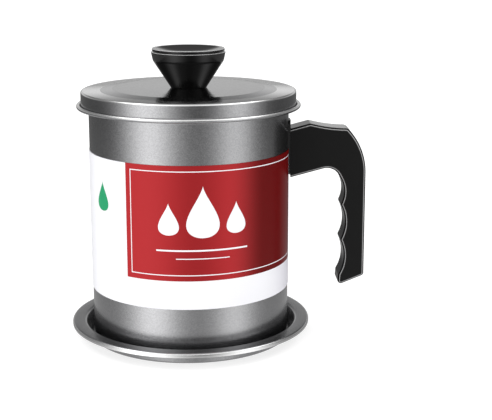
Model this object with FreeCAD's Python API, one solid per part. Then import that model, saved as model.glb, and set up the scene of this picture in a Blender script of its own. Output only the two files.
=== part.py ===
import FreeCAD, Part
import math
import os

from FreeCAD import Vector

# Bacon grease pot: a drip tray, a pot with a handle, a lift-out strainer and a lid, stacked on one axis.
# Millimetres. Z = 0 is the underside of the drip tray, and the handle points along +X.

# Drip tray
tray_sheet = 0.8
tray_floor_margin = 1.7
tray_well_flare = 3.4
tray_brim_width = 7.5
tray_height = 9.8
tray_lip_drop = 2.4
tray_floor_bend = 2.5
tray_brim_bend = 1.2
tray_lip_bend = 0.5

# Pot
pot_sheet = 0.6
pot_radius = 57.5
pot_shoulder_height = 135.3
pot_floor_bend = 3.5
pot_shoulder_bend = 1.4
pot_shoulder_width = 6.9
curl_radius = 1.15

# Printed sleeve round the pot
sleeve_thickness = 0.2
sleeve_fit = 0.1
sleeve_bottom_height = 31.0
sleeve_top_margin = 23.8
sleeve_seam_gap = 0.8
sleeve_notch_margin = 0.8

# Strainer cup, net and clamp ring
cup_sheet = 0.5
cup_depth = 45.0
cup_side_clearance = 0.6
cup_brim_clearance = 0.4
cup_floor_inset = 2.0
cup_floor_bend = 3.0
cup_brim_bend = 1.0
cup_floor_ledge = 8.3
net_thickness = 0.6
net_seat_width = 3.5
net_pitch = 5.0
net_bar_width = 1.0
clamp_ring_thickness = 0.5
clamp_ring_width = 4.5

# Lid
lid_sheet = 0.6
lid_side_clearance = 0.3
lid_skirt_length = 8.8
lid_rise = 1.0
lid_ring_width = 10.8
lid_slope_width = 7.5
lid_edge_bend = 1.3
lid_slope_bend = 4.0

# Knob
knob_base_radius = 10.2
knob_cone_radius = 20.3
knob_cone_height = 15.6
knob_cone_bend = 4.0
knob_rim_radius = 21.4
knob_rim_height = 20.7
knob_groove_depth = 1.2
knob_groove_width = 0.4
knob_top_ring_radius = 20.8
knob_top_ring_band = 1.5
knob_dish_radius = 18.6
knob_dish_depth = 3.4
knob_edge_round = 0.45

# Screws and threaded bushes
screw_radius = 2.0
screw_head_radius = 3.6
screw_head_height = 2.4
screw_drive_radius = 1.5
screw_drive_depth = 1.3
screw_head_round = 0.7
screw_hole_clearance = 0.2
thread_clearance = 0.05
washer_radius = 4.6
washer_thickness = 0.8
knob_bush_radius = 4.0
knob_bush_length = 10.5
knob_screw_reach = 9.0
grip_bush_radius = 3.2
grip_bush_length = 8.0
grip_screw_reach = 7.0

# Handle bracket
saddle_sheet = 1.2
saddle_width = 16.0
saddle_above_arm = 4.8
saddle_below_arm = 1.5
saddle_corner_radius = 4.0
tongue_length = 22.0
tongue_width = 10.0
tongue_thickness = 2.5
tongue_above_underside = 13.5
bracket_fit = 0.1

# Handle grip; a reach is measured from the pot's wall along X
grip_width = 16.6
grip_back_reach = 44.8
grip_arm_slope_deg = 14.8
grip_arm_drop = 41.3
grip_arm_depth = 28.6
grip_thumb_reach = 12.3
grip_thumb_dip = 0.7
grip_shoulder_reach = 33.8
grip_shoulder_rise = 0.3
grip_shoulder_drop = 25.9
grip_shoulder_bulge = 2.75
grip_heel_rise = 6.3
grip_toe_reach = 29.2
grip_toe_drop = 7.0
grip_ridge_reach = 30.4
grip_last_ridge_inset = 0.7
grip_top_ridge_drop = 16.1
grip_finger_pitch = 21.1
grip_finger_depth = 2.7
grip_first_finger_length = 15.2
grip_first_finger_depth = 1.9
grip_inner_corner_radius = 8.0
grip_ridge_round = 2.0
grip_heel_round = 2.0
grip_shoulder_round = 3.0
grip_edge_round = 1.7
grip_screw_reach_x = 12.5
grip_recess_radius = 4.2
grip_recess_depth = 5.0

# Heights that follow from the sizes above
pot_floor_height = tray_sheet
pot_shoulder_top = pot_shoulder_height + pot_sheet
cup_bottom_height = pot_shoulder_top - cup_depth
cup_brim_top = pot_shoulder_top + cup_sheet
net_height = cup_bottom_height + cup_sheet
lid_ring_height = cup_brim_top + lid_skirt_length
lid_plateau_height = lid_ring_height + lid_rise
lid_underside_height = lid_plateau_height - lid_sheet

arm_underside_height = pot_shoulder_height - grip_arm_drop
arm_top_height = arm_underside_height + grip_arm_depth
tongue_height = arm_underside_height + tongue_above_underside
saddle_bottom_height = arm_underside_height + saddle_below_arm
saddle_top_height = arm_top_height + saddle_above_arm
sleeve_length = pot_shoulder_height - sleeve_top_margin - sleeve_bottom_height

# Radii that follow from the sizes above
tray_floor_radius = pot_radius + tray_floor_margin
tray_well_radius = tray_floor_radius + tray_well_flare
tray_brim_radius = tray_well_radius + tray_brim_width
curl_outer_radius = pot_radius + pot_shoulder_width
rim_inner_radius = curl_outer_radius - 2 * curl_radius
cup_top_radius = pot_radius - pot_sheet - cup_side_clearance
cup_floor_radius = cup_top_radius - cup_floor_inset
cup_floor_opening_radius = cup_floor_radius - cup_floor_ledge
lid_radius = rim_inner_radius - lid_side_clearance
lid_slope_outer_radius = lid_radius - lid_ring_width
lid_plateau_radius = lid_slope_outer_radius - lid_slope_width
arm_seat_radius = pot_radius + saddle_sheet + bracket_fit
grip_screw_x = pot_radius + grip_screw_reach_x


def flat(point):
    """A point (radius or x, height) in the XZ plane."""
    return Vector(point[0], 0, point[1])


def offset_corners(points, distance):
    """The same open path moved sideways by distance, to the left of its direction."""
    headings = [heading(start, end) for start, end in zip(points, points[1:])]
    moved = []
    for index, point in enumerate(points):
        before = headings[max(index - 1, 0)]
        after = headings[min(index, len(headings) - 1)]
        middle = before + turn_between(before, after) / 2
        reach = distance / math.cos(turn_between(before, after) / 2)
        moved.append((point[0] - reach * math.sin(middle), point[1] + reach * math.cos(middle)))
    return moved


def heading(start, end):
    """The compass angle of the line from start to end."""
    return math.atan2(end[1] - start[1], end[0] - start[0])


def turn_between(before, after):
    """The signed turn from one heading to the next, left turns positive."""
    return (after - before + math.pi) % (2 * math.pi) - math.pi


def rounded_path(points, radii):
    """Lines and arcs through the points; radii holds one bend radius for each inner corner."""
    edges = []
    cursor = points[0]
    for index, radius in enumerate(radii, start=1):
        corner = points[index]
        before = heading(points[index - 1], corner)
        after = heading(corner, points[index + 1])
        turn = turn_between(before, after)
        tangent = radius * math.tan(abs(turn) / 2)
        start = (corner[0] - tangent * math.cos(before), corner[1] - tangent * math.sin(before))
        end = (corner[0] + tangent * math.cos(after), corner[1] + tangent * math.sin(after))
        side = math.copysign(radius, turn)
        centre = (start[0] - side * math.sin(before), start[1] + side * math.cos(before))
        halfway = before + turn / 2
        middle = (centre[0] + side * math.sin(halfway), centre[1] - side * math.cos(halfway))
        add_line(edges, cursor, start)
        edges.append(Part.Arc(flat(start), flat(middle), flat(end)).toShape())
        cursor = end
    add_line(edges, cursor, points[-1])
    return edges


def add_line(edges, start, end):
    """Add a straight edge unless its ends meet."""
    if math.dist(start, end) > 1e-6:
        edges.append(Part.LineSegment(flat(start), flat(end)).toShape())


def pressed_sheet(points, radii, thickness):
    """Sheet metal turned about Z: a path for one face, and its thickness to the left of the path."""
    far_points = offset_corners(points, thickness)
    far_radii = []
    for index, radius in enumerate(radii, start=1):
        before = heading(points[index - 1], points[index])
        after = heading(points[index], points[index + 1])
        turn = turn_between(before, after)
        far_radii.append(radius - thickness * math.copysign(1, turn))
    edges = rounded_path(points, radii)
    edges += rounded_path(far_points, far_radii)
    add_line(edges, points[0], far_points[0])
    add_line(edges, points[-1], far_points[-1])
    return turned(edges)


def turned(edges):
    """A solid made by turning a closed outline in the XZ plane about Z."""
    wire = Part.Wire(Part.__sortEdges__(edges))
    solid = Part.Face(wire).revolve(Vector(0, 0, 0), Vector(0, 0, 1), 360)
    return as_solid(solid)


def as_solid(shape):
    """The one solid in a shape, facing outwards."""
    solid = shape.Solids[0] if shape.Solids else Part.Solid(shape)
    if solid.Volume < 0:
        solid.reverse()
    return solid


def ring(inner_radius, outer_radius, bottom, height):
    """A flat ring or short tube standing on Z."""
    outer = Part.makeCylinder(outer_radius, height, Vector(0, 0, bottom))
    if inner_radius <= 0:
        return outer
    return as_solid(outer.cut(Part.makeCylinder(inner_radius, height, Vector(0, 0, bottom))))


def centred_box(length_x, width_y, height_z, start_x, bottom_z):
    """A box that starts at start_x and bottom_z and is centred across Y."""
    return Part.makeBox(length_x, width_y, height_z, Vector(start_x, -width_y / 2, bottom_z))


def edges_across(shape, x, z):
    """The edges that run along Y at one corner of the side outline."""
    found = []
    for edge in shape.Edges:
        if all(math.dist((vertex.X, vertex.Z), (x, z)) < 0.01 for vertex in edge.Vertexes):
            found.append(edge)
    return found


def make_drip_tray():
    brim_underside = tray_height - tray_sheet
    lip_x = tray_brim_radius - tray_sheet
    points = [
        (0, 0),
        (tray_floor_radius, 0),
        (tray_well_radius, brim_underside),
        (lip_x, brim_underside),
        (lip_x, tray_height - tray_lip_drop),
    ]
    return pressed_sheet(points, [tray_floor_bend, tray_brim_bend, tray_lip_bend], tray_sheet)


def make_pot_body():
    rim_top = pot_shoulder_height + 2 * curl_radius
    points = [
        (0, pot_floor_height),
        (pot_radius, pot_floor_height),
        (pot_radius, pot_shoulder_height),
        (curl_outer_radius, pot_shoulder_height),
        (curl_outer_radius, rim_top),
        (rim_inner_radius, rim_top),
        (rim_inner_radius, pot_shoulder_height + curl_radius),
    ]
    curl_bends = [curl_radius] * 3
    return pressed_sheet(points, [pot_floor_bend, pot_shoulder_bend] + curl_bends, pot_sheet)


def make_label_wrap():
    inner_radius = pot_radius + sleeve_fit
    reach = inner_radius + sleeve_thickness
    sleeve = ring(inner_radius, reach, sleeve_bottom_height, sleeve_length)
    seam = centred_box(reach, sleeve_seam_gap, sleeve_length, 0, sleeve_bottom_height)
    notch_bottom = saddle_bottom_height - sleeve_notch_margin
    notch_height = sleeve_bottom_height + sleeve_length - notch_bottom
    notch = centred_box(reach, saddle_width + 2 * sleeve_notch_margin, notch_height, 0, notch_bottom)
    return as_solid(sleeve.cut(seam).cut(notch))


def make_strainer_cup():
    points = [
        (cup_floor_opening_radius, cup_bottom_height),
        (cup_floor_radius, cup_bottom_height),
        (cup_top_radius, pot_shoulder_top),
        (rim_inner_radius - cup_brim_clearance, pot_shoulder_top),
    ]
    return pressed_sheet(points, [cup_floor_bend, cup_brim_bend], cup_sheet)


def make_strainer_mesh():
    """A flat round net: one disc with a grid of square gaps."""
    net_radius = cup_floor_opening_radius + net_seat_width
    gap = net_pitch - net_bar_width
    holes = []
    steps = int(cup_floor_opening_radius / net_pitch) + 1
    for column in range(-steps, steps + 1):
        for row in range(-steps, steps + 1):
            x = column * net_pitch
            y = row * net_pitch
            if math.hypot(abs(x) + gap / 2, abs(y) + gap / 2) < cup_floor_opening_radius:
                holes.append(square_wire(x, y, gap))
    rim = Part.Wire(Part.makeCircle(net_radius, Vector(0, 0, net_height)))
    face = Part.Face([rim] + holes)
    face.validate()
    return as_solid(face.extrude(Vector(0, 0, net_thickness)))


def square_wire(x, y, side):
    """A square outline in the plane of the net."""
    half = side / 2
    corners = [(x - half, y - half), (x + half, y - half), (x + half, y + half), (x - half, y + half)]
    return Part.makePolygon([Vector(cx, cy, net_height) for cx, cy in corners + corners[:1]])


def make_mesh_ring():
    outer_radius = cup_floor_opening_radius + clamp_ring_width
    return ring(cup_floor_opening_radius, outer_radius, net_height + net_thickness, clamp_ring_thickness)


def make_lid_cover():
    points = [
        (screw_radius + screw_hole_clearance, lid_plateau_height),
        (lid_plateau_radius, lid_plateau_height),
        (lid_slope_outer_radius, lid_ring_height),
        (lid_radius, lid_ring_height),
        (lid_radius, cup_brim_top),
    ]
    return pressed_sheet(points, [lid_slope_bend, lid_slope_bend, lid_edge_bend], -lid_sheet)


def make_knob():
    base = lid_plateau_height
    rim_top = base + knob_rim_height
    ring_bottom = rim_top + knob_groove_width
    ring_top = ring_bottom + knob_top_ring_band
    groove_radius = knob_top_ring_radius - knob_groove_depth
    side = [
        (knob_base_radius, base),
        (knob_cone_radius, base + knob_cone_height),
        (knob_rim_radius, rim_top),
        (groove_radius, rim_top),
        (groove_radius, ring_bottom),
        (knob_top_ring_radius, ring_bottom),
        (knob_top_ring_radius, ring_top),
        (knob_dish_radius, ring_top),
    ]
    groove_bend = knob_groove_width / 4
    bends = [knob_cone_bend, knob_edge_round, groove_bend, groove_bend, knob_edge_round, knob_edge_round]
    edges = rounded_path(side, bends)
    dish_floor = ring_top - knob_dish_depth
    ball_radius = (knob_dish_radius ** 2 + knob_dish_depth ** 2) / (2 * knob_dish_depth)
    half_radius = knob_dish_radius / 2
    half_height = dish_floor + ball_radius - math.sqrt(ball_radius ** 2 - half_radius ** 2)
    dish_points = [(knob_dish_radius, ring_top), (half_radius, half_height), (0, dish_floor)]
    edges.append(Part.Arc(*[flat(point) for point in dish_points]).toShape())
    add_line(edges, (0, dish_floor), (0, base))
    add_line(edges, (0, base), (knob_base_radius, base))
    bore = Part.makeCylinder(knob_bush_radius, knob_bush_length, Vector(0, 0, base))
    return as_solid(turned(edges).cut(bore))


def make_bush(radius, length, x, bottom):
    """A round threaded bush; its bore clears the screw by the thread clearance."""
    body = Part.makeCylinder(radius, length, Vector(x, 0, bottom))
    bore = Part.makeCylinder(screw_radius + thread_clearance, length, Vector(x, 0, bottom))
    return as_solid(body.cut(bore))


def make_screw(x, head_top, tip_height):
    """A pan-head screw that points up, with a socket in its head; head_top is where its head bears."""
    head_bottom = head_top - screw_head_height
    head = Part.makeCylinder(screw_head_radius, screw_head_height, Vector(x, 0, head_bottom))
    lowest = [edge for edge in head.Edges if abs(edge.BoundBox.ZMax - head_bottom) < 1e-6]
    head = head.makeFillet(screw_head_round, lowest)
    socket = Part.makeCylinder(screw_drive_radius, screw_drive_depth, Vector(x, 0, head_bottom))
    shank = Part.makeCylinder(screw_radius, tip_height - head_bottom - screw_drive_depth,
                              Vector(x, 0, head_bottom + screw_drive_depth))
    return as_solid(head.cut(socket).fuse(shank).removeSplitter())


def make_knob_washer():
    hole = screw_radius + screw_hole_clearance
    return ring(hole, washer_radius, lid_underside_height - washer_thickness, washer_thickness)


def make_knob_screw():
    return make_screw(0, lid_underside_height - washer_thickness, lid_plateau_height + knob_screw_reach)


def make_knob_insert():
    return make_bush(knob_bush_radius, knob_bush_length, 0, lid_plateau_height)


def make_handle_bracket():
    """A curved saddle on the pot with a flat tongue that reaches into the grip."""
    saddle_height = saddle_top_height - saddle_bottom_height
    band = ring(pot_radius, pot_radius + saddle_sheet, saddle_bottom_height, saddle_height)
    patch = centred_box(2 * pot_radius, saddle_width, saddle_height, 0, saddle_bottom_height)
    along_x = [edge for edge in patch.Edges if edge.BoundBox.YLength + edge.BoundBox.ZLength < 1e-6]
    patch = patch.makeFillet(saddle_corner_radius, along_x)
    saddle = as_solid(band.common(patch))
    seat = pot_radius + saddle_sheet / 2
    reach = saddle_sheet / 2 + tongue_length
    tongue = centred_box(reach, tongue_width, tongue_thickness, seat, tongue_height)
    hole = Part.makeCylinder(screw_radius + screw_hole_clearance, tongue_thickness,
                             Vector(grip_screw_x, 0, tongue_height))
    return as_solid(saddle.fuse(tongue).cut(hole).removeSplitter())


def arm_rise(x):
    """How far the sloping arm has risen at x, above where it meets the pot."""
    return (x - pot_radius) * math.tan(math.radians(grip_arm_slope_deg))


def line_meet(start, direction, x, z, slope_deg):
    """Where a ray from start meets the line through (x, z) at slope_deg."""
    slope = math.tan(math.radians(slope_deg))
    reach = (z + slope * (start[0] - x) - start[1]) / (math.sin(direction) - slope * math.cos(direction))
    return (start[0] + reach * math.cos(direction), start[1] + reach * math.sin(direction))


def arc_edge(start, end, bulge):
    """An arc from start to end that stands out to the right of its direction by bulge."""
    length = math.dist(start, end)
    normal = ((end[1] - start[1]) / length, -(end[0] - start[0]) / length)
    middle = ((start[0] + end[0]) / 2 + bulge * normal[0], (start[1] + end[1]) / 2 + bulge * normal[1])
    return Part.Arc(flat(start), flat(middle), flat(end)).toShape()


def grip_corners():
    """The named corners of the grip's side outline."""
    thumb_x = pot_radius + grip_thumb_reach
    back_x = pot_radius + grip_back_reach
    ridge_x = pot_radius + grip_ridge_reach
    shoulder_height = arm_top_height + grip_shoulder_rise
    top_ridge_height = arm_underside_height - grip_top_ridge_drop
    last_ridge_height = top_ridge_height - 2 * grip_finger_pitch
    toe_height = last_ridge_height - grip_toe_drop
    return {
        "thumb": (thumb_x, arm_top_height + arm_rise(thumb_x)),
        "shoulder": (pot_radius + grip_shoulder_reach, shoulder_height),
        "back_top": (back_x, shoulder_height - grip_shoulder_drop),
        "heel": (back_x, toe_height + grip_heel_rise),
        "toe": (pot_radius + grip_toe_reach, toe_height),
        "last_ridge": (ridge_x - grip_last_ridge_inset, last_ridge_height),
        "middle_ridge": (ridge_x, top_ridge_height - grip_finger_pitch),
        "top_ridge": (ridge_x, top_ridge_height),
        "finger_end": (ridge_x, top_ridge_height + grip_first_finger_length),
    }


def grip_outline(at, inner_corner):
    """The grip's side outline, before its corners are rounded."""
    start_x = pot_radius / 2
    arm_top = (start_x, arm_top_height + arm_rise(start_x))
    arm_underside = (start_x, arm_underside_height + arm_rise(start_x))
    edges = []
    add_line(edges, arm_top, at["thumb"])
    edges.append(arc_edge(at["thumb"], at["shoulder"], grip_thumb_dip))
    edges.append(arc_edge(at["shoulder"], at["back_top"], -grip_shoulder_bulge))
    add_line(edges, at["back_top"], at["heel"])
    add_line(edges, at["heel"], at["toe"])
    add_line(edges, at["toe"], at["last_ridge"])
    edges.append(arc_edge(at["last_ridge"], at["middle_ridge"], grip_finger_depth))
    edges.append(arc_edge(at["middle_ridge"], at["top_ridge"], grip_finger_depth))
    edges.append(arc_edge(at["top_ridge"], at["finger_end"], grip_first_finger_depth))
    add_line(edges, at["finger_end"], inner_corner)
    add_line(edges, inner_corner, arm_underside)
    add_line(edges, arm_underside, arm_top)
    return edges


def make_handle_grip():
    at = grip_corners()
    half_angle = 2 * math.atan(2 * grip_first_finger_depth / grip_first_finger_length)
    inner_corner = line_meet(at["finger_end"], math.pi / 2 + half_angle, pot_radius, arm_underside_height,
                             grip_arm_slope_deg)
    face = Part.Face(Part.Wire(Part.__sortEdges__(grip_outline(at, inner_corner))))
    slab = as_solid(face.extrude(Vector(0, grip_width, 0)))
    slab.translate(Vector(0, -grip_width / 2, 0))
    rounds = [(inner_corner, grip_inner_corner_radius)]
    rounds += [(at[name], grip_shoulder_round) for name in ("thumb", "shoulder")]
    rounds += [(at[name], grip_heel_round) for name in ("heel", "toe")]
    rounds += [(at[name], grip_ridge_round) for name in ("last_ridge", "middle_ridge", "top_ridge")]
    for corner, radius in rounds:
        slab = slab.makeFillet(radius, edges_across(slab, corner[0], corner[1]))
    border = []
    for edge in slab.Edges:
        box = edge.BoundBox
        on_side = box.YLength < 1e-6 and abs(abs(box.YMax) - grip_width / 2) < 1e-6
        if on_side and box.XMax > pot_radius / 2 + 1:
            border.append(edge)
    slab = slab.makeFillet(grip_edge_round, border)
    return drill_grip(slab)


def drill_grip(slab):
    """Cut the seat on the saddle, the slot for the tongue, and the holes for the screw and its bush."""
    tool_height = 2 * saddle_top_height
    slab = slab.cut(Part.makeCylinder(arm_seat_radius, tool_height))
    slot_x = pot_radius + saddle_sheet + tongue_length + bracket_fit
    slot_bottom = tongue_height - bracket_fit
    slot_height = tongue_thickness + 2 * bracket_fit
    slab = slab.cut(centred_box(slot_x, tongue_width + 2 * bracket_fit, slot_height, 0, slot_bottom))
    bush_seat = slot_bottom + slot_height
    slab = slab.cut(Part.makeCylinder(grip_bush_radius, grip_bush_length, Vector(grip_screw_x, 0, bush_seat)))
    head_seat = grip_head_seat()
    slab = slab.cut(Part.makeCylinder(grip_recess_radius, 2 * grip_recess_depth,
                                      Vector(grip_screw_x, 0, head_seat - 2 * grip_recess_depth)))
    hole = Part.makeCylinder(screw_radius + screw_hole_clearance, bush_seat - head_seat,
                             Vector(grip_screw_x, 0, head_seat))
    return as_solid(slab.cut(hole))


def grip_head_seat():
    """The height where the head of the handle's screw bears, inside the arm."""
    return arm_underside_height + arm_rise(grip_screw_x) + grip_recess_depth


def make_handle_insert():
    bush_seat = tongue_height + tongue_thickness + bracket_fit
    return make_bush(grip_bush_radius, grip_bush_length, grip_screw_x, bush_seat)


def make_handle_screw():
    tip = tongue_height + tongue_thickness + bracket_fit + grip_screw_reach
    return make_screw(grip_screw_x, grip_head_seat(), tip)


pieces = {
    "drip_tray": make_drip_tray,
    "pot_body": make_pot_body,
    "label_wrap": make_label_wrap,
    "handle_bracket": make_handle_bracket,
    "handle_grip": make_handle_grip,
    "handle_insert": make_handle_insert,
    "handle_screw": make_handle_screw,
    "strainer_cup": make_strainer_cup,
    "strainer_mesh": make_strainer_mesh,
    "mesh_ring": make_mesh_ring,
    "lid_cover": make_lid_cover,
    "knob": make_knob,
    "knob_insert": make_knob_insert,
    "knob_screw": make_knob_screw,
    "knob_washer": make_knob_washer,
}

os.makedirs("parts", exist_ok=True)
for name, make in pieces.items():
    solid = make()
    if not solid.isValid() or solid.Volume <= 0:
        raise ValueError(name + " is not a sound solid")
    solid.exportStep("parts/" + name + ".step")
    print(name, round(solid.Volume, 1), "mm3")
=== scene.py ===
import math

import bpy
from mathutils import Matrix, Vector


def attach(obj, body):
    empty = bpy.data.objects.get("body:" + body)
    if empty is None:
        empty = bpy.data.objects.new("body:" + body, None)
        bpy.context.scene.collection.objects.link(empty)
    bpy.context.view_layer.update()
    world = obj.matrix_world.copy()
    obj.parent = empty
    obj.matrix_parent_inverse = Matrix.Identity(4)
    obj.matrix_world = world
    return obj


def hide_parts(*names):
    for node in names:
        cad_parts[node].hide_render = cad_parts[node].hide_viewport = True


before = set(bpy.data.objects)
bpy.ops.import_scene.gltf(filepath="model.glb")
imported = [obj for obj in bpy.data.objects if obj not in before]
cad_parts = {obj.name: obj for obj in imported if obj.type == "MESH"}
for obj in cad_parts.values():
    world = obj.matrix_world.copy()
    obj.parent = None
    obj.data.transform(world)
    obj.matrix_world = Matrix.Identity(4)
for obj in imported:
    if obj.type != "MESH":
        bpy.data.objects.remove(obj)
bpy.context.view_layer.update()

# A coated steel grease pot with its lid, strainer and drip tray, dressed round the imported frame. Metres.

# Camera: it stands in front of the pot, above its lid, and looks down at it
IMAGE_WIDTH = 492
FOCAL_PIXELS = 1223.5
SENSOR_WIDTH = 36.0
CAMERA_DISTANCE = 0.7005
CAMERA_HEIGHT = 0.2391
CAMERA_PITCH = 0.232
CAMERA_YAW = 0.047

# Studio: soft lights all round the pot. Compass angles run from the camera to the right, in degrees
LIGHTS = (
    # compass angle, half width, height, half height, strength
    (-46.0, 29.0, 0.0, 62.0, 2.35),
    (53.0, 24.0, 0.0, 62.0, 1.55),
    (180.0, 75.0, 9.0, 9.0, 0.66),
    (-87.0, 22.0, 55.0, 11.0, 5.6),
    (95.0, 22.0, 55.0, 11.0, 5.6),
    (0.0, 55.0, 45.0, 8.0, 1.5),
    (0.0, 400.0, 64.0, 28.0, 0.55),
)
FILL_STRENGTH = 0.16
FLOOR_GLOW_STRENGTH = 0.52
FLOOR_GLOW_TOP = -10.0
FLOOR_GLOW_BOTTOM = -24.0
TOP_GLOW_STRENGTH = 0.3
TOP_GLOW_START = 0.78

# Lid: its flat outer ring is painted paler and its middle darker, as painted reflection of the studio's
# bright and dark parts
LID_MIDDLE_END = 0.0436
LID_RING_START = 0.0508
LID_RING_END = 0.0606
LID_MIDDLE_PAINTED_SHADE_TONE = 0.16
LID_RING_PAINTED_REFLECTION_TONE = 0.75
LID_RING_TILT_DEG = 7.5

# Turned sheets, in millimetres: the tray, the pot, the strainer cup and the lid
TRAY_SHEET = 0.8
TRAY_HEIGHT = 9.8
TRAY_FLOOR_MARGIN = 1.7
TRAY_WELL_FLARE = 3.4
TRAY_BRIM_WIDTH = 7.5
TRAY_LIP_DROP = 2.4
TRAY_BENDS = (2.5, 1.2, 0.5)
# The tray's fine circle is this much smaller, so that it stays inside the frame's coarser one
TRAY_LIP_MARGIN = 0.02
POT_SHEET = 0.6
POT_RADIUS = 57.5
POT_SHOULDER_HEIGHT = 135.3
POT_SHOULDER_WIDTH = 6.9
POT_BENDS = (3.5, 1.4)
CURL_RADIUS = 1.15
CUP_SHEET = 0.5
CUP_DEPTH = 45.0
CUP_SIDE_CLEARANCE = 0.6
CUP_BRIM_CLEARANCE = 0.4
CUP_FLOOR_INSET = 2.0
CUP_FLOOR_LEDGE = 8.3
CUP_BENDS = (3.0, 1.0)
LID_SHEET = 0.6
LID_HOLE_RADIUS = 2.2
LID_SIDE_CLEARANCE = 0.3
LID_SKIRT_LENGTH = 8.8
LID_RISE = 1.0
LID_RING_WIDTH = 10.8
LID_SLOPE_WIDTH = 7.5
LID_BENDS = (4.0, 4.0, 1.3)
RIM_RADIUS = POT_RADIUS + POT_SHOULDER_WIDTH
RIM_INSIDE_RADIUS = RIM_RADIUS - 2 * CURL_RADIUS
CUP_BRIM_HEIGHT = POT_SHOULDER_HEIGHT + POT_SHEET
MILLIMETRE = 0.001

# Turning: steps round the axis and round each bend, and the angle above which an edge stays sharp
TURN_STEPS = 360
BEND_STEP_DEG = 9.0
SHARP_ANGLE_DEG = 35.0
# Points closer than this are one point
SAME_PLACE = 1e-6
# Farther out or higher up than anything on the pot
BEYOND = 1.0

# Painted highlight bands, paler where the coated sheet is rolled or bent: radius and height where they start
POT_RIM_RADIUS = 0.0628
POT_RIM_HEIGHT = 0.1366
TRAY_LIP_RADIUS = 0.0699
LID_EDGE_RADIUS = 0.0611
LID_EDGE_HEIGHT = 0.1444
PAINTED_HIGHLIGHT_TONE = 0.62
BAND_FADE_OUTSIDE = 0.0005
BAND_FADE_INSIDE = 0.0001
BAND_FADE_BELOW = 0.0002

# Grey coating: its two tones, its bright flakes, its clouds and its grain
COATING_DARK = (0.225, 0.225, 0.23, 1)
COATING_PALE = (0.335, 0.335, 0.34, 1)
FLAKE_SCALE = 1700.0
FLAKE_SHARE = 0.45
FLAKE_ROUGHNESS = 0.06
CLOUD_SCALE = 90.0
CLOUD_SHARE = 0.15
GRAIN_SCALE = 3200.0
GRAIN_SHARE = 0.4
COATING_SKIN_SCALE = 2200.0
COATING_SKIN_HEIGHT = 0.000004

# Plain steel and brass
STEEL_DARK = (0.50, 0.50, 0.49, 1)
STEEL_PALE = (0.62, 0.62, 0.61, 1)
TURNED_LINE_SCALE = 9000.0
TURNED_LINE_HEIGHT = 0.000006
BRASS_DARK = (0.62, 0.44, 0.16, 1)
BRASS_PALE = (0.78, 0.58, 0.26, 1)

# Knob: heights of the painted highlight lines on its two rims
KNOB_HIGHLIGHT_HEIGHTS = (0.16682, 0.16862)
KNOB_HIGHLIGHT_HALF_HEIGHT = 0.00016
KNOB_HIGHLIGHT_RADIUS = 0.0200
KNOB_HIGHLIGHT_TONE = 0.36

# Grip: painted highlight lines run where the sideways part of the rounded edge's direction is near this
# value
GRIP_GLOSS = 0.1
EDGE_HIGHLIGHT_SIDEWAYS = 0.91
EDGE_HIGHLIGHT_WIDTH = 0.045
EDGE_HIGHLIGHT_TONE = 0.40

# Thumb rest on the grip, painted paler as lit from above: where it starts and ends along X, and the upward
# part of its face's direction
THUMB_REST_START = 0.0702
THUMB_REST_END = 0.0910
THUMB_REST_FADE = 0.0004
THUMB_REST_UPWARD = (0.90, 0.93)
THUMB_REST_PAINTED_LIGHT_TONE = 0.10
THUMB_REST_GLOSS = 0.9

# Fine skin of moulded plastic and of card
PLASTIC_SKIN_HEIGHT = 0.000002
CARD_SKIN_HEIGHT = 0.000004

# Woven net in the strainer
NET_RADIUS = 0.0494
NET_MIDDLE_HEIGHT = 0.0917
NET_WIRE_RADIUS = 0.00014
NET_PITCH = 0.0016

# Printed panel on the sleeve
SLEEVE_RADIUS = 0.0578
PANEL_LEFT_DEG = -37.2
PANEL_RIGHT_DEG = 84.0
PANEL_BOTTOM = 0.0472
PANEL_TOP = 0.1115
FRAME_INSET = 0.0030
FRAME_WIDTH = 0.0005
MOTIF_DEG = 7.0
DROPS = (
    # place along the panel, height, half height, half width
    (-0.0190, 0.0820, 0.0090, 0.0058),
    (0.0000, 0.0860, 0.0145, 0.0092),
    (0.0190, 0.0820, 0.0090, 0.0058),
)
GREEN_DROP_DEG = -57.0
GREEN_DROP = (0.0, 0.0900, 0.0085, 0.0056)
RULES = (
    # half length, lowest and highest point
    (0.0260, 0.0640, 0.0649),
    (0.0150, 0.0596, 0.0601),
)
# Greatest half width of the curve that draws a drop, before it is scaled
DROP_SWELL = 1.3

# Tones of the sleeve, with painted shade on the red and the white: where each painted shade starts and ends
# round the pot, in degrees
RED = (0.385, 0.018, 0.022, 1)
RED_IN_PAINTED_VALLEY_SHADE = (0.15, 0.004, 0.005, 1)
RED_PAINTED_SIDE_SHADE = (0.105, 0.0012, 0.0015, 1)
RED_FIBRE = (0.40, 0.02, 0.02, 1)
RED_FIBRE_SHARE = 0.05
VALLEY_DEG = 3.0
VALLEY_WIDTH_DEG = 15.0
VALLEY_SHARE = 0.5
RED_SIDE_SHADE_DEG = (20.0, 45.0)
WHITE = (0.82, 0.82, 0.85, 1)
WHITE_IN_SHADE = (0.66, 0.65, 0.71, 1)
WHITE_FIBRE = (0.76, 0.76, 0.80, 1)
WHITE_FIBRE_SHARE = 0.1
SHADE_START_DEG = (40.0, 85.0)
SHADE_END_DEG = (110.0, 160.0)
GREEN = (0.02, 0.30, 0.13, 1)

# Floor under the tray
FLOOR_HALF_WIDTH = 6.0
FLOOR_DROP = 0.0002
FLOOR_TONE = 0.35
FLOOR_EMISSION = 0.75


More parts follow.
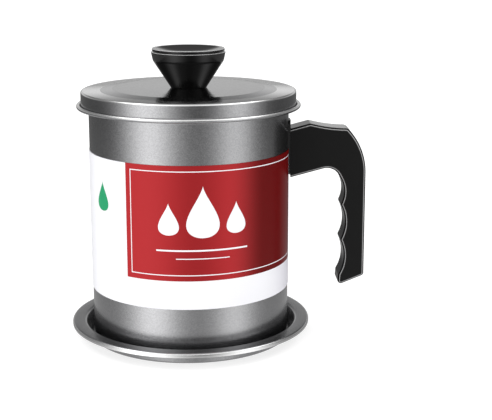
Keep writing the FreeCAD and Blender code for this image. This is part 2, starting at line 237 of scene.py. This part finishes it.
class Graph:
    """Builds shader nodes. node gives the node it made, and the other calls give the output of theirs."""

    def __init__(self, tree):
        self.tree = tree

    def node(self, kind, inputs=(), **settings):
        made = self.tree.nodes.new(kind)
        for key, value in settings.items():
            setattr(made, key, value)
        for key, value in dict(inputs).items():
            self.plug(made.inputs[key], value)
        return made

    def plug(self, socket, value):
        if isinstance(value, bpy.types.NodeSocket):
            self.tree.links.new(value, socket)
        else:
            socket.default_value = value

    def math(self, operation, *values):
        return self.node("ShaderNodeMath", dict(enumerate(values)), operation=operation).outputs[0]

    def ramp(self, value, low, high):
        """0 at low and 1 at high, with a smooth step between them."""
        inputs = {"Value": value, "From Min": low, "From Max": high}
        made = self.node("ShaderNodeMapRange", inputs, interpolation_type="SMOOTHSTEP")
        return made.outputs["Result"]

    def mix(self, factor, first, second):
        made = self.node("ShaderNodeMix", data_type="RGBA")
        self.plug(made.inputs[0], factor)
        self.plug(made.inputs[6], first)
        self.plug(made.inputs[7], second)
        return made.outputs[2]

    def noise(self, place, scale, detail=2.0):
        inputs = {"Vector": place, "Scale": scale, "Detail": detail}
        return self.node("ShaderNodeTexNoise", inputs).outputs["Fac"]

    def bell(self, value, middle, width):
        """A bell curve of the value round its middle."""
        away = self.math("DIVIDE", self.math("SUBTRACT", value, middle), width)
        return self.math("EXPONENT", self.math("MULTIPLY", self.math("MULTIPLY", away, away), -1.0))


def grey(level):
    return (level, level, level, 1.0)


def new_material(name, **sockets):
    """A material with one principled shader, whose plain sockets are set.

    Gives the material, its graph and its shader.
    """
    material = bpy.data.materials.new(name)
    material.use_nodes = True
    graph = Graph(material.node_tree)
    shader = material.node_tree.nodes["Principled BSDF"]
    for key, value in sockets.items():
        shader.inputs[key.replace("_", " ")].default_value = value
    return material, graph, shader


def object_place(graph):
    return graph.node("ShaderNodeTexCoord").outputs["Object"]


def add_bump(graph, shader, height, distance):
    bump = graph.node("ShaderNodeBump", {"Height": height, "Distance": distance})
    graph.plug(shader.inputs["Normal"], bump.outputs["Normal"])


def compass(graph, axes):
    """The angle about Z in degrees, from -Y towards +X."""
    return graph.math("DEGREES", graph.math("ARCTAN2", axes["X"], graph.math("MULTIPLY", axes["Y"], -1.0)))


def radius_and_height(graph, place):
    """The distance from the pot's axis, and the height."""
    axes = graph.node("ShaderNodeSeparateXYZ", {"Vector": place}).outputs
    across = graph.math("MULTIPLY", axes["X"], axes["X"])
    along = graph.math("MULTIPLY", axes["Y"], axes["Y"])
    return graph.math("SQRT", graph.math("ADD", across, along)), axes["Z"]


def coated_steel(name, roughness, bands=(), tilt_deg=0.0):
    """Grey metallic coating with fine bright flakes.

    Bands are rings of another tone, soft at their edges. The tilt leans the face outwards beyond the
    inner edge of the lid's ring.
    """
    material, graph, shader = new_material(name, Metallic=1.0)
    place = object_place(graph)
    flakes = graph.node("ShaderNodeTexVoronoi", {"Vector": place, "Scale": FLAKE_SCALE}).outputs["Color"]
    flake = graph.node("ShaderNodeSeparateColor", {"Color": flakes}).outputs["Red"]
    cloud = graph.noise(place, CLOUD_SCALE, 3.0)
    grain = graph.noise(place, GRAIN_SCALE, 1.0)
    tone = graph.math("MULTIPLY", flake, FLAKE_SHARE)
    tone = graph.math("ADD", tone, graph.math("MULTIPLY", cloud, CLOUD_SHARE))
    tone = graph.math("ADD", tone, graph.math("MULTIPLY", grain, GRAIN_SHARE))
    color = graph.mix(tone, COATING_DARK, COATING_PALE)
    rough = graph.math("ADD", graph.math("MULTIPLY", flake, FLAKE_ROUGHNESS), roughness)
    radius, height = radius_and_height(graph, place)
    # Each band paints another tone: a painted highlight on a bent edge, or painted reflection on the lid
    for start, end, lowest, band_tone in bands:
        outwards = graph.ramp(radius, start - BAND_FADE_OUTSIDE, start + BAND_FADE_INSIDE)
        inwards = graph.ramp(radius, end - BAND_FADE_INSIDE, end + BAND_FADE_OUTSIDE)
        above = graph.ramp(height, lowest - BAND_FADE_BELOW, lowest + BAND_FADE_INSIDE)
        within = graph.math("MULTIPLY", graph.math("SUBTRACT", outwards, inwards), above)
        color = graph.mix(within, color, grey(band_tone))
    graph.plug(shader.inputs["Base Color"], color)
    graph.plug(shader.inputs["Roughness"], rough)
    skin = graph.math("MULTIPLY", graph.noise(place, COATING_SKIN_SCALE, 1.0), COATING_SKIN_HEIGHT)
    beyond = graph.math("MAXIMUM", graph.math("SUBTRACT", radius, LID_RING_START), 0.0)
    fall = graph.math("MULTIPLY", beyond, math.tan(math.radians(tilt_deg)))
    add_bump(graph, shader, graph.math("SUBTRACT", skin, fall), 1.0)
    return material


def plain_steel():
    """Plain stainless steel with faint turned lines."""
    material, graph, shader = new_material("plain_steel", Metallic=1.0)
    place = object_place(graph)
    height = graph.node("ShaderNodeSeparateXYZ", {"Vector": place}).outputs["Z"]
    inputs = {"W": height, "Scale": TURNED_LINE_SCALE, "Detail": 2.0}
    lines = graph.node("ShaderNodeTexNoise", inputs, noise_dimensions="1D").outputs["Fac"]
    cloud = graph.noise(place, 60.0, 4.0)
    graph.plug(shader.inputs["Base Color"], graph.mix(cloud, STEEL_DARK, STEEL_PALE))
    graph.plug(shader.inputs["Roughness"], graph.math("ADD", graph.math("MULTIPLY", lines, 0.15), 0.18))
    add_bump(graph, shader, lines, TURNED_LINE_HEIGHT)
    return material


def moulded_plastic(name, tone, roughness, gloss):
    """Black moulded plastic with a fine skin; gives the material, its graph, its shader and its colour."""
    material, graph, shader = new_material(name, Specular_IOR_Level=gloss)
    place = object_place(graph)
    cloud = graph.noise(place, 120.0, 3.0)
    color = graph.mix(cloud, grey(tone * 0.8), grey(tone * 1.2))
    graph.plug(shader.inputs["Base Color"], color)
    graph.plug(shader.inputs["Roughness"], graph.math("ADD", graph.math("MULTIPLY", cloud, 0.06), roughness))
    add_bump(graph, shader, graph.noise(place, 1800.0), PLASTIC_SKIN_HEIGHT)
    return material, graph, shader, color


def grip_plastic():
    """The grip's plastic, with painted highlight lines along its edges and a thumb rest painted paler, as
    lit from above.
    """
    material, graph, shader, color = moulded_plastic("grip_plastic", 0.002, 0.12, GRIP_GLOSS)
    coordinates = graph.node("ShaderNodeTexCoord").outputs
    facing = graph.node("ShaderNodeSeparateXYZ", {"Vector": coordinates["Normal"]}).outputs
    place = graph.node("ShaderNodeSeparateXYZ", {"Vector": coordinates["Object"]}).outputs
    edge_highlight = graph.bell(graph.math("ABSOLUTE", facing["Y"]), EDGE_HIGHLIGHT_SIDEWAYS, EDGE_HIGHLIGHT_WIDTH)
    color = graph.mix(edge_highlight, color, grey(EDGE_HIGHLIGHT_TONE))
    upward = graph.ramp(facing["Z"], *THUMB_REST_UPWARD)
    past_start = graph.ramp(place["X"], THUMB_REST_START - THUMB_REST_FADE, THUMB_REST_START)
    past_end = graph.ramp(place["X"], THUMB_REST_END, THUMB_REST_END + THUMB_REST_FADE)
    thumb_rest = graph.math("MULTIPLY", upward, graph.math("SUBTRACT", past_start, past_end))
    graph.plug(shader.inputs["Base Color"], graph.mix(thumb_rest, color, grey(THUMB_REST_PAINTED_LIGHT_TONE)))
    gloss = graph.math("ADD", graph.math("MULTIPLY", thumb_rest, THUMB_REST_GLOSS), GRIP_GLOSS)
    graph.plug(shader.inputs["Specular IOR Level"], gloss)
    return material


def knob_plastic():
    """The knob's polished plastic, with a painted highlight line on each of its two rims."""
    material, graph, shader, color = moulded_plastic("knob_plastic", 0.001, 0.06, 0.3)
    radius, height = radius_and_height(graph, object_place(graph))
    for level in KNOB_HIGHLIGHT_HEIGHTS:
        away = graph.math("ABSOLUTE", graph.math("SUBTRACT", height, level))
        on_highlight = graph.math("MULTIPLY", graph.math("LESS_THAN", away, KNOB_HIGHLIGHT_HALF_HEIGHT),
                             graph.math("GREATER_THAN", radius, KNOB_HIGHLIGHT_RADIUS))
        color = graph.mix(on_highlight, color, grey(KNOB_HIGHLIGHT_TONE))
    graph.plug(shader.inputs["Base Color"], color)
    return material


def brass():
    material, graph, shader = new_material("turned_brass", Metallic=1.0)
    cloud = graph.noise(object_place(graph), 300.0, 3.0)
    graph.plug(shader.inputs["Base Color"], graph.mix(cloud, BRASS_DARK, BRASS_PALE))
    graph.plug(shader.inputs["Roughness"], graph.math("ADD", graph.math("MULTIPLY", cloud, 0.15), 0.22))
    return material


def drop_shape(graph, along, height, drop):
    """1 inside a drop with its point up, and 0 outside."""
    middle, level, half_height, half_width = drop
    rise = graph.math("DIVIDE", graph.math("SUBTRACT", height, level), half_height)
    rise = graph.math("MINIMUM", graph.math("MAXIMUM", rise, -1.0), 1.0)
    below_top = graph.math("SUBTRACT", 1.0, rise)
    above_foot = graph.math("ADD", 1.0, rise)
    swell = graph.math("MULTIPLY", graph.math("POWER", below_top, 3.0), above_foot)
    reach = graph.math("MULTIPLY", graph.math("SQRT", swell), half_width / DROP_SWELL)
    away = graph.math("ABSOLUTE", graph.math("SUBTRACT", along, middle))
    return graph.math("LESS_THAN", away, reach)


def box_shape(graph, along, height, half_length, low, high):
    """1 inside a box centred along the panel, and 0 outside."""
    within = graph.math("LESS_THAN", graph.math("ABSOLUTE", along), half_length)
    above = graph.math("GREATER_THAN", height, low)
    below = graph.math("LESS_THAN", height, high)
    return graph.math("MULTIPLY", graph.math("MULTIPLY", within, above), below)


def round_the_sleeve(degrees):
    """The distance round the sleeve for an angle."""
    return math.radians(degrees) * SLEEVE_RADIUS


def panel_print(graph, along, height, half_length, motif_along):
    """1 on the panel's white print: a thin frame, two rules and three drops."""
    inset = FRAME_INSET
    outer = box_shape(graph, along, height, half_length - inset, PANEL_BOTTOM + inset, PANEL_TOP - inset)
    inset = FRAME_INSET + FRAME_WIDTH
    inner = box_shape(graph, along, height, half_length - inset, PANEL_BOTTOM + inset, PANEL_TOP - inset)
    printed = graph.math("SUBTRACT", outer, inner)
    for rule in RULES:
        printed = graph.math("MAXIMUM", printed, box_shape(graph, motif_along, height, *rule))
    for drop in DROPS:
        printed = graph.math("MAXIMUM", printed, drop_shape(graph, motif_along, height, drop))
    return printed


def panel_red(graph, around, fibre):
    """The panel's red, with painted shade: darker in a valley near its middle and on the side towards the
    handle.
    """
    valley = graph.math("MULTIPLY", graph.bell(around, VALLEY_DEG, VALLEY_WIDTH_DEG), VALLEY_SHARE)
    red = graph.mix(valley, RED, RED_IN_PAINTED_VALLEY_SHADE)
    red = graph.mix(graph.ramp(around, *RED_SIDE_SHADE_DEG), red, RED_PAINTED_SIDE_SHADE)
    return graph.mix(graph.math("MULTIPLY", fibre, RED_FIBRE_SHARE), red, RED_FIBRE)


def ground_white(graph, around, fibre):
    """The sleeve's white ground, with painted shade round the handle."""
    shade = graph.math("SUBTRACT", graph.ramp(around, *SHADE_START_DEG), graph.ramp(around, *SHADE_END_DEG))
    white = graph.mix(shade, WHITE, WHITE_IN_SHADE)
    return graph.mix(graph.math("MULTIPLY", fibre, WHITE_FIBRE_SHARE), white, WHITE_FIBRE)


def printed_sleeve():
    """Smooth white card with white print on a red panel, and one green drop beside it."""
    material, graph, shader = new_material("printed_sleeve", Roughness=0.3, Specular_IOR_Level=0.12)
    place = object_place(graph)
    axes = graph.node("ShaderNodeSeparateXYZ", {"Vector": place}).outputs
    height = axes["Z"]
    around = compass(graph, axes)
    fibre = graph.noise(place, 700.0, 3.0)
    panel_middle = (PANEL_LEFT_DEG + PANEL_RIGHT_DEG) / 2
    half_length = round_the_sleeve(PANEL_RIGHT_DEG - PANEL_LEFT_DEG) / 2
    along = graph.math("MULTIPLY", graph.math("SUBTRACT", around, panel_middle), round_the_sleeve(1.0))
    motif_along = graph.math("ADD", along, round_the_sleeve(panel_middle - MOTIF_DEG))
    panel = box_shape(graph, along, height, half_length, PANEL_BOTTOM, BEYOND)
    in_red = graph.math("SUBTRACT", panel, panel_print(graph, along, height, half_length, motif_along))
    color = graph.mix(in_red, ground_white(graph, around, fibre), panel_red(graph, around, fibre))
    green_along = graph.math("SUBTRACT", along, round_the_sleeve(GREEN_DROP_DEG - panel_middle))
    color = graph.mix(drop_shape(graph, green_along, height, GREEN_DROP), color, GREEN)
    graph.plug(shader.inputs["Base Color"], color)
    add_bump(graph, shader, fibre, CARD_SKIN_HEIGHT)
    return material


def dress_nodes():
    """Gives its finish to every node of the frame that no piece of the scene stands for."""
    bare = plain_steel()
    bush = brass()
    finishes = {
        "label_wrap": printed_sleeve(),
        "handle_bracket": moulded_plastic("bracket_coating", 0.008, 0.28, 0.3)[0],
        "handle_grip": grip_plastic(),
        "knob": knob_plastic(),
        "handle_insert": bush,
        "knob_insert": bush,
        "handle_screw": bare,
        "knob_screw": bare,
        "knob_washer": bare,
        "mesh_ring": bare,
    }
    for name, material in finishes.items():
        for material_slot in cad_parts[name].material_slots:
            material_slot.material = material


def heading(start, end):
    return math.atan2(end[1] - start[1], end[0] - start[0])


def turn_between(before, after):
    """The signed turn from one heading to the next, left turns positive."""
    return (after - before + math.pi) % (2 * math.pi) - math.pi


def turns_of(corners):
    headings = [heading(start, end) for start, end in zip(corners, corners[1:])]
    return headings, [turn_between(before, after) for before, after in zip(headings, headings[1:])]


def offset_corners(corners, distance):
    """The same open path moved sideways by distance, to the left of its direction."""
    headings, turns = turns_of(corners)
    bends = [0.0] + turns + [0.0]
    moved = []
    for index, corner in enumerate(corners):
        middle = headings[max(index - 1, 0)] + bends[index] / 2
        reach = distance / math.cos(bends[index] / 2)
        moved.append((corner[0] - reach * math.sin(middle), corner[1] + reach * math.cos(middle)))
    return moved


def rounded_path(corners, radii):
    """Points along the path with an arc of short steps at each inner corner."""
    headings, turns = turns_of(corners)
    path = [corners[0]]
    for corner, before, turn, radius in zip(corners[1:], headings, turns, radii):
        tangent = radius * math.tan(abs(turn) / 2)
        side = math.copysign(radius, turn)
        start = (corner[0] - tangent * math.cos(before), corner[1] - tangent * math.sin(before))
        centre = (start[0] - side * math.sin(before), start[1] + side * math.cos(before))
        steps = max(2, math.ceil(abs(math.degrees(turn)) / BEND_STEP_DEG))
        for step in range(steps + 1):
            along = before + turn * step / steps
            place = (centre[0] + side * math.sin(along), centre[1] - side * math.cos(along))
            if math.dist(place, path[-1]) > SAME_PLACE:
                path.append(place)
    if math.dist(corners[-1], path[-1]) > SAME_PLACE:
        path.append(corners[-1])
    return path


def sheet_outline(corners, radii, thickness):
    """The closed outline of a bent sheet, clockwise; a thickness above 0 lies to the left of the path."""
    turns = turns_of(corners)[1]
    far_radii = [radius - thickness * math.copysign(1, turn) for radius, turn in zip(radii, turns)]
    near = rounded_path(corners, radii)
    far = rounded_path(offset_corners(corners, thickness), far_radii)
    outline = near + far[::-1]
    area = sum(a[0] * b[1] - b[0] * a[1] for a, b in zip(outline, outline[1:] + outline[:1]))
    return outline[::-1] if area > 0 else outline


def tray_sheet():
    """The tray's lower face from its middle to its lip: corners, bend radii and thickness."""
    floor_radius = POT_RADIUS + TRAY_FLOOR_MARGIN
    well_radius = floor_radius + TRAY_WELL_FLARE
    lip_radius = well_radius + TRAY_BRIM_WIDTH - TRAY_SHEET - TRAY_LIP_MARGIN
    brim_height = TRAY_HEIGHT - TRAY_SHEET
    corners = [(0, 0), (floor_radius, 0), (well_radius, brim_height), (lip_radius, brim_height),
               (lip_radius, TRAY_HEIGHT - TRAY_LIP_DROP)]
    return corners, TRAY_BENDS, TRAY_SHEET


def pot_sheet():
    """The pot's outer face from the middle of its floor, on the tray, to the end of its rolled rim."""
    rim_top = POT_SHOULDER_HEIGHT + 2 * CURL_RADIUS
    corners = [(0, TRAY_SHEET), (POT_RADIUS, TRAY_SHEET), (POT_RADIUS, POT_SHOULDER_HEIGHT),
               (RIM_RADIUS, POT_SHOULDER_HEIGHT), (RIM_RADIUS, rim_top), (RIM_INSIDE_RADIUS, rim_top),
               (RIM_INSIDE_RADIUS, POT_SHOULDER_HEIGHT + CURL_RADIUS)]
    return corners, POT_BENDS + (CURL_RADIUS,) * 3, POT_SHEET


def cup_sheet():
    """The strainer cup's outer face from the opening in its floor to the edge of its brim."""
    top_radius = POT_RADIUS - POT_SHEET - CUP_SIDE_CLEARANCE
    floor_radius = top_radius - CUP_FLOOR_INSET
    floor_height = CUP_BRIM_HEIGHT - CUP_DEPTH
    corners = [(floor_radius - CUP_FLOOR_LEDGE, floor_height), (floor_radius, floor_height),
               (top_radius, CUP_BRIM_HEIGHT), (RIM_INSIDE_RADIUS - CUP_BRIM_CLEARANCE, CUP_BRIM_HEIGHT)]
    return corners, CUP_BENDS, CUP_SHEET


def lid_sheet():
    """The lid's upper face from its middle hole to the foot of its skirt, which stands on the cup's brim."""
    edge_radius = RIM_INSIDE_RADIUS - LID_SIDE_CLEARANCE
    ring_radius = edge_radius - LID_RING_WIDTH
    slope_radius = ring_radius - LID_SLOPE_WIDTH
    skirt_foot = CUP_BRIM_HEIGHT + CUP_SHEET
    ring_height = skirt_foot + LID_SKIRT_LENGTH
    top_height = ring_height + LID_RISE
    corners = [(LID_HOLE_RADIUS, top_height), (slope_radius, top_height), (ring_radius, ring_height),
               (edge_radius, ring_height), (edge_radius, skirt_foot)]
    return corners, LID_BENDS, -LID_SHEET


def new_piece(name, points, faces, material):
    """An object with one mesh and one material, in the scene."""
    mesh = bpy.data.meshes.new(name)
    mesh.from_pydata(points, [], faces)
    mesh.materials.append(material)
    piece = bpy.data.objects.new(name, mesh)
    bpy.context.collection.objects.link(piece)
    return piece


def make_turned(name, sheet, body, node, material):
    """A sheet turned about Z in fine steps, which stands for a node of the frame."""
    points = []
    rows = []
    for radius, height in sheet_outline(*sheet):
        count = TURN_STEPS if radius > SAME_PLACE else 1
        rows.append(range(len(points), len(points) + count))
        for step in range(count):
            angle = 2 * math.pi * step / TURN_STEPS
            place = Vector((radius * math.cos(angle), radius * math.sin(angle), height))
            points.append(place * MILLIMETRE)
    faces = []
    for row, after in zip(rows, rows[1:] + rows[:1]):
        if len(row) + len(after) == 2:
            continue
        for step in range(TURN_STEPS):
            ahead = (step + 1) % TURN_STEPS
            corners = [row[step % len(row)], after[step % len(after)], after[ahead % len(after)],
                       row[ahead % len(row)]]
            faces.append(tuple(dict.fromkeys(corners)))
    piece = new_piece(name, points, faces, material)
    piece.data.shade_smooth()
    piece.data.set_sharp_from_angle(angle=math.radians(SHARP_ANGLE_DEG))
    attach(piece, body)
    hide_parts(node)


def make_sheets():
    """The four turned sheets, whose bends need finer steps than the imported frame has."""
    # The pale bands on the rolled rim, the tray's lip and the lid's edge are painted highlights
    tray = coated_steel("tray_steel", 0.20, [(TRAY_LIP_RADIUS, BEYOND, 0.0, PAINTED_HIGHLIGHT_TONE)])
    pot = coated_steel("pot_steel", 0.20, [(POT_RIM_RADIUS, BEYOND, POT_RIM_HEIGHT, PAINTED_HIGHLIGHT_TONE)])
    # The lid's middle is painted darker and its ring paler, as painted reflection; its edge carries a
    # painted highlight
    lid = coated_steel("lid_steel", 0.12, [
        (-BEYOND, LID_MIDDLE_END, 0.0, LID_MIDDLE_PAINTED_SHADE_TONE),
        (LID_RING_START, LID_RING_END, 0.0, LID_RING_PAINTED_REFLECTION_TONE),
        (LID_EDGE_RADIUS, BEYOND, LID_EDGE_HEIGHT, PAINTED_HIGHLIGHT_TONE),
    ], LID_RING_TILT_DEG)
    make_turned("tray_shell", tray_sheet(), "tray", "drip_tray", tray)
    make_turned("pot_shell", pot_sheet(), "pot", "pot_body", pot)
    make_turned("lid_shell", lid_sheet(), "lid", "lid_cover", lid)
    make_turned("strainer_shell", cup_sheet(), "strainer", "strainer_cup", plain_steel())


def add_wire(points, faces, path, radius):
    """Add a thin square wire along a path of points."""
    start = len(points)
    for index, place in enumerate(path):
        ahead = (path[min(index + 1, len(path) - 1)] - path[max(index - 1, 0)]).normalized()
        side = ahead.cross(Vector((0, 0, 1))).normalized()
        rise = side.cross(ahead)
        for across, up in ((1, 0), (0, 1), (-1, 0), (0, -1)):
            points.append(place + radius * (across * side + up * rise))
    for index in range(len(path) - 1):
        row = start + 4 * index
        for corner in range(4):
            after = (corner + 1) % 4
            faces.append((row + corner, row + after, row + 4 + after, row + 4 + corner))
    last = start + 4 * (len(path) - 1)
    faces.append((start + 3, start + 2, start + 1, start))
    faces.append((last, last + 1, last + 2, last + 3))


def make_woven_net():
    """The strainer's fine net: wires along X and Y that pass over and under each other."""
    points = []
    faces = []
    reach = NET_RADIUS - 2 * NET_WIRE_RADIUS
    half_count = int(reach / NET_PITCH)
    for along_x in (True, False):
        for row in range(-half_count, half_count + 1):
            offset = row * NET_PITCH
            half_length = math.sqrt(reach ** 2 - offset ** 2)
            steps = int(half_length / NET_PITCH)
            if steps < 1:
                continue
            path = []
            for step in range(-2 * steps, 2 * steps + 1):
                travel = step * NET_PITCH / 2
                sway = math.cos(math.pi * (travel / NET_PITCH + row)) * NET_WIRE_RADIUS
                level = NET_MIDDLE_HEIGHT + (sway if along_x else -sway)
                path.append(Vector((travel, offset, level)) if along_x else Vector((offset, travel, level)))
            add_wire(points, faces, path, NET_WIRE_RADIUS)
    net = new_piece("woven_net", points, faces, plain_steel())
    net.data.shade_smooth()
    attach(net, "strainer")
    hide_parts("strainer_mesh")


def make_floor():
    """A wide pale floor under the tray. Gloss on the pot comes from the studio, not from the floor."""
    half = FLOOR_HALF_WIDTH
    corners = [(-half, -half, 0), (half, -half, 0), (half, half, 0), (-half, half, 0)]
    material, _, shader = new_material("pale_floor", Roughness=0.9, Emission_Strength=FLOOR_EMISSION)
    shader.inputs["Base Color"].default_value = grey(FLOOR_TONE)
    shader.inputs["Emission Color"].default_value = grey(1.0)
    floor = new_piece("floor", corners, [(0, 1, 2, 3)], material)
    floor.location.z = -FLOOR_DROP
    floor.visible_glossy = False


def make_studio():
    """The light all round: the soft lights, an even fill, a glow from the ground and a faint one above."""
    world = bpy.data.worlds.new("studio")
    world.use_nodes = True
    bpy.context.scene.world = world
    graph = Graph(world.node_tree)
    direction = graph.node("ShaderNodeTexCoord").outputs["Generated"]
    axes = graph.node("ShaderNodeSeparateXYZ", {"Vector": direction}).outputs
    around = compass(graph, axes)
    height = graph.math("DEGREES", graph.math("ARCSINE", axes["Z"]))
    total = FILL_STRENGTH
    for angle, half_width, level, half_height, strength in LIGHTS:
        aside = graph.math("WRAP", graph.math("SUBTRACT", around, angle), 180.0, -180.0)
        sideways = graph.bell(aside, 0.0, half_width)
        light = graph.math("MULTIPLY", sideways, graph.bell(height, level, half_height))
        total = graph.math("ADD", total, graph.math("MULTIPLY", light, strength))
    below = graph.ramp(height, FLOOR_GLOW_TOP, FLOOR_GLOW_BOTTOM)
    total = graph.math("ADD", total, graph.math("MULTIPLY", below, FLOOR_GLOW_STRENGTH))
    above = graph.ramp(axes["Z"], TOP_GLOW_START, 1.0)
    total = graph.math("ADD", total, graph.math("MULTIPLY", above, TOP_GLOW_STRENGTH))
    seen = graph.node("ShaderNodeLightPath").outputs["Is Camera Ray"]
    strength = graph.math("ADD", graph.math("MULTIPLY", total, graph.math("SUBTRACT", 1.0, seen)), seen)
    background = world.node_tree.nodes["Background"]
    graph.plug(background.inputs["Strength"], strength)
    background.inputs["Color"].default_value = grey(1.0)


def make_camera():
    data = bpy.data.cameras.new("camera")
    data.sensor_fit = "HORIZONTAL"
    data.sensor_width = SENSOR_WIDTH
    data.lens = FOCAL_PIXELS / IMAGE_WIDTH * SENSOR_WIDTH
    camera = bpy.data.objects.new("camera", data)
    camera.location = (0.0, -CAMERA_DISTANCE, CAMERA_HEIGHT)
    camera.rotation_euler = (math.pi / 2 - CAMERA_PITCH, 0.0, -CAMERA_YAW)
    bpy.context.collection.objects.link(camera)
    bpy.context.scene.camera = camera


bpy.context.scene.view_settings.view_transform = "Standard"
make_camera()
make_studio()
make_floor()
dress_nodes()
make_sheets()
make_woven_net()
